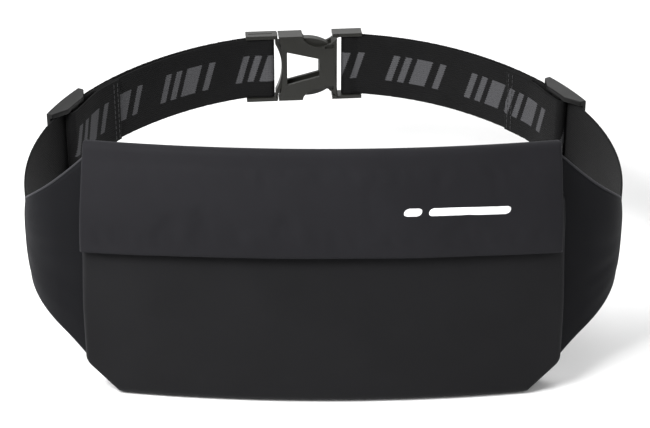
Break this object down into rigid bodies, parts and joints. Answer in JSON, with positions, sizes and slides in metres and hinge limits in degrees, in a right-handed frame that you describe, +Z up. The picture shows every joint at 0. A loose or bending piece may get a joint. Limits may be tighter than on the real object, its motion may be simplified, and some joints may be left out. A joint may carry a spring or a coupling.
{
  "type": "waist pack",
  "caption": "Slim waist pack: a flat curved pouch with a fold-over flap and tapered side wings on a doubled elastic belt with slide adjusters and a side-release buckle.",
  "frame": {"origin": "centre of the closed belt loop, at mid height of the webbing", "axes": "+Z up as worn, -Y out of the pouch's front, +X to the right as seen from the front"},
  "size_m": [0.3144, 0.2634, 0.1399],
  "materials": {
    "body_fabric": "matte stretch fabric",
    "flap_fabric": "matte stretch fabric",
    "wing_fabric": "matte stretch fabric",
    "lining": "thin lining",
    "hook_tape": "hook tape",
    "webbing": "knitted elastic",
    "buckle_plastic": "satin moulded",
    "slider_plastic": "satin moulded"
  },
  "bodies": {
    "pouch": {"pouch_back_panel": "body_fabric", "pouch_front_panel": "body_fabric", "pouch_top_fold": "flap_fabric", "pocket_divider": "lining", "pocket_mouth_tape": "lining", "front_loop_strip": "hook_tape", "wing_outer_right": "wing_fabric", "wing_outer_left": "wing_fabric", "wing_inner_right": "wing_fabric", "wing_inner_left": "wing_fabric", "strap_main_right": "webbing", "strap_main_left": "webbing", "strap_loop_right": "webbing", "strap_inner_right": "webbing", "strap_inner_left": "webbing", "buckle_socket": "buckle_plastic"},
    "flap": {"flap_panel": "flap_fabric", "flap_hook_strip": "hook_tape"},
    "plug": {"buckle_plug": "buckle_plastic", "strap_loop_left": "webbing"},
    "upper_prong": {"prong_upper": "buckle_plastic"},
    "lower_prong": {"prong_lower": "buckle_plastic"},
    "slider_r": {"slider_right": "slider_plastic", "strap_sewn_end_right": "webbing"},
    "slider_l": {"slider_left": "slider_plastic", "strap_sewn_end_left": "webbing"}
  },
  "joints": [
    {"name": "flap_lift", "type": "hinge", "parent": "pouch", "child": "flap", "pos_m": [0, -0.083, 0.063], "axis": [-1, 0, 0], "range_deg": [0, 120]},
    {"name": "buckle_release", "type": "slide", "parent": "pouch", "child": "plug", "axis": [-0.9963, -0.0854, 0], "range_m": [0, 0.036], "deforming": ["prong_upper", "prong_lower", "strap_inner_left"]},
    {"name": "upper_prong_squeeze", "type": "hinge", "parent": "plug", "child": "upper_prong", "pos_m": [-0.02432, 0.15672, 0.01505], "axis": [-0.0854, 0.9963, 0], "range_deg": [0, 9], "stiffness_Nm_per_rad": 0.3},
    {"name": "lower_prong_squeeze", "type": "hinge", "parent": "plug", "child": "lower_prong", "pos_m": [-0.02432, 0.15672, -0.01505], "axis": [0.0854, -0.9963, 0], "range_deg": [0, 9], "stiffness_Nm_per_rad": 0.3},
    {"name": "slider_right_travel", "type": "hinge", "parent": "pouch", "child": "slider_r", "pos_m": [-0.02, -0.007, 0], "axis": [0, 0, 1], "range_deg": [-5.3, 5.3], "deforming": ["strap_inner_right"]},
    {"name": "slider_left_travel", "type": "hinge", "parent": "pouch", "child": "slider_l", "pos_m": [0.02, -0.007, 0], "axis": [0, 0, -1], "range_deg": [-5.3, 5.3], "deforming": ["strap_inner_left"]}
  ]
}
